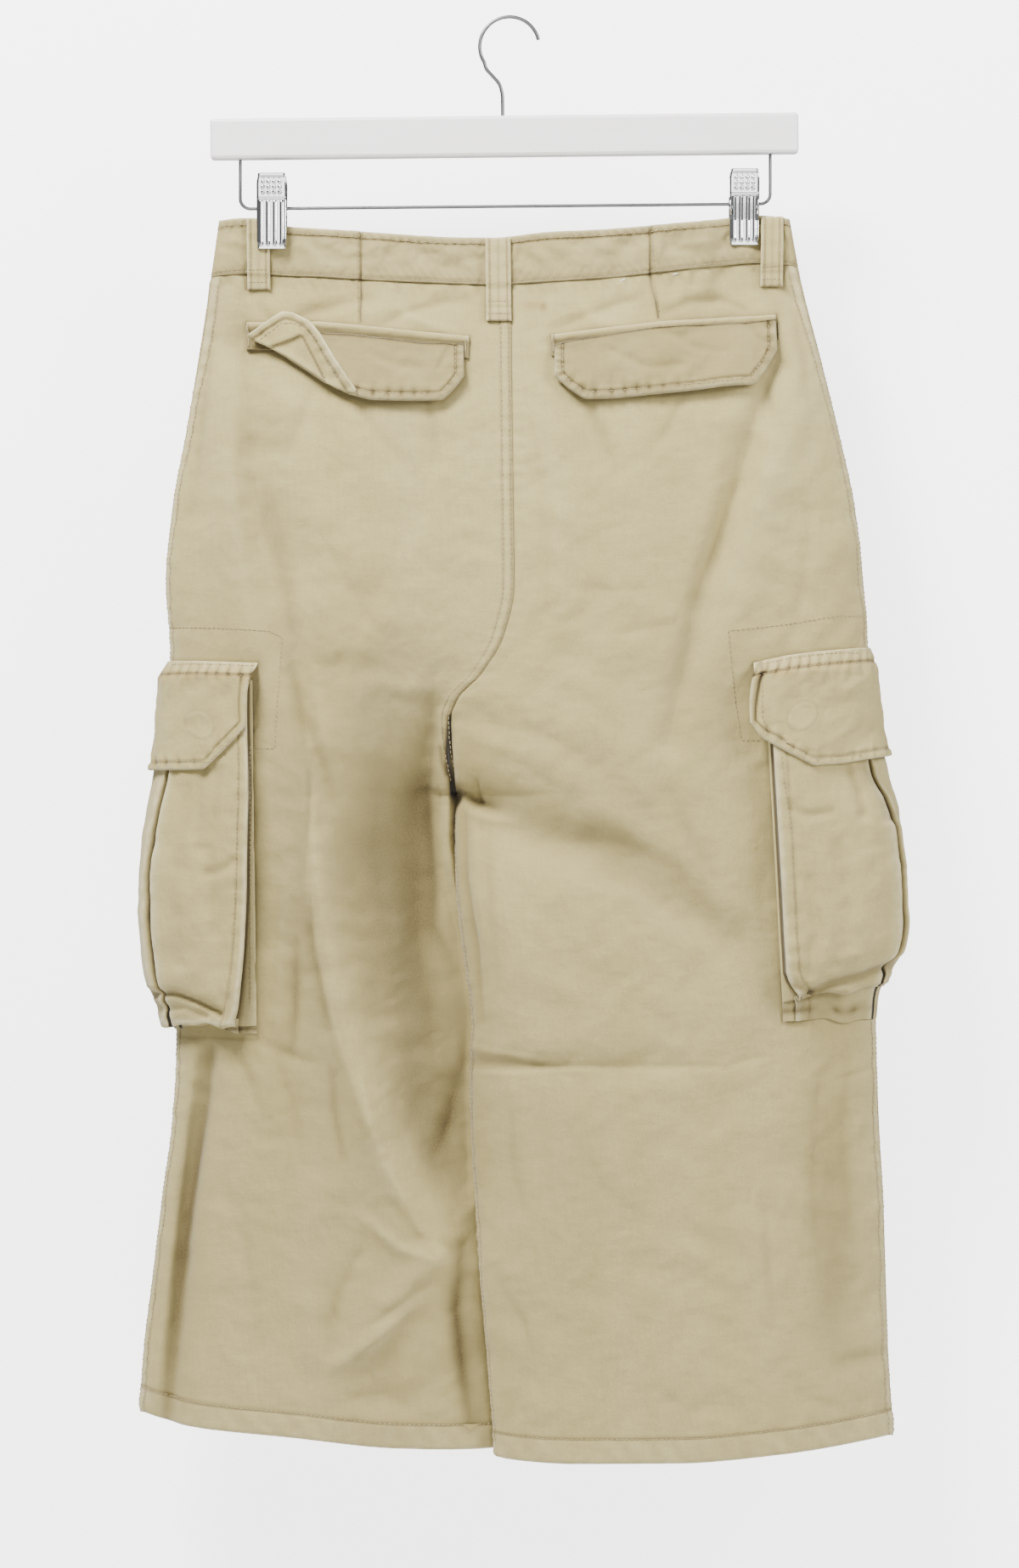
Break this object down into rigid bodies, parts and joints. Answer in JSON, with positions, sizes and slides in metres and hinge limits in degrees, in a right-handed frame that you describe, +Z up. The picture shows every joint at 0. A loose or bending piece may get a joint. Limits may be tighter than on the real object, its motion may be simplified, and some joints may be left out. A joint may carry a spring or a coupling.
{
  "type": "cargo shorts on a clip hanger",
  "caption": "Long khaki cotton-twill cargo shorts hung flat by the waist from a white wooden bar hanger with two chrome spring clips.",
  "frame": {"origin": "the inside of the hook's top, where the hook rests on what holds it", "axes": "+X along the hanger's bar towards the wearer's right, +Y towards the garment's front, +Z up"},
  "size_m": [0.4663, 0.0792, 0.8741],
  "materials": {
    "twill": "washed khaki cotton twill with worn, paler edges",
    "white_wood": "white satin paint on wood",
    "steel": "dull drawn wire",
    "chrome": "bright plated sheet steel",
    "horn": "brown horn-like resin"
  },
  "bodies": {
    "root": {"back_left": "twill", "back_right": "twill", "front_left": "twill", "front_right": "twill", "waistband_back_left": "twill", "waistband_back_center": "twill", "waistband_back_right": "twill", "waistband_front_left": "twill", "waistband_front_right": "twill", "belt_loop_back_left": "twill", "belt_loop_back_center": "twill", "belt_loop_back_right": "twill", "belt_loop_front_left": "twill", "belt_loop_front_right": "twill", "back_welt_left": "twill", "back_welt_right": "twill", "back_flap_left": "twill", "back_flap_right": "twill", "cargo_bag_left": "twill", "cargo_bag_right": "twill", "cargo_flap_left": "twill", "cargo_flap_right": "twill", "fly": "twill", "waist_button": "horn", "hanger_bar": "white_wood", "hanger_hook": "steel", "hanger_rod": "steel", "clip_left_near": "chrome", "clip_left_far": "chrome", "clip_right_near": "chrome", "clip_right_far": "chrome"}
  },
  "joints": []
}
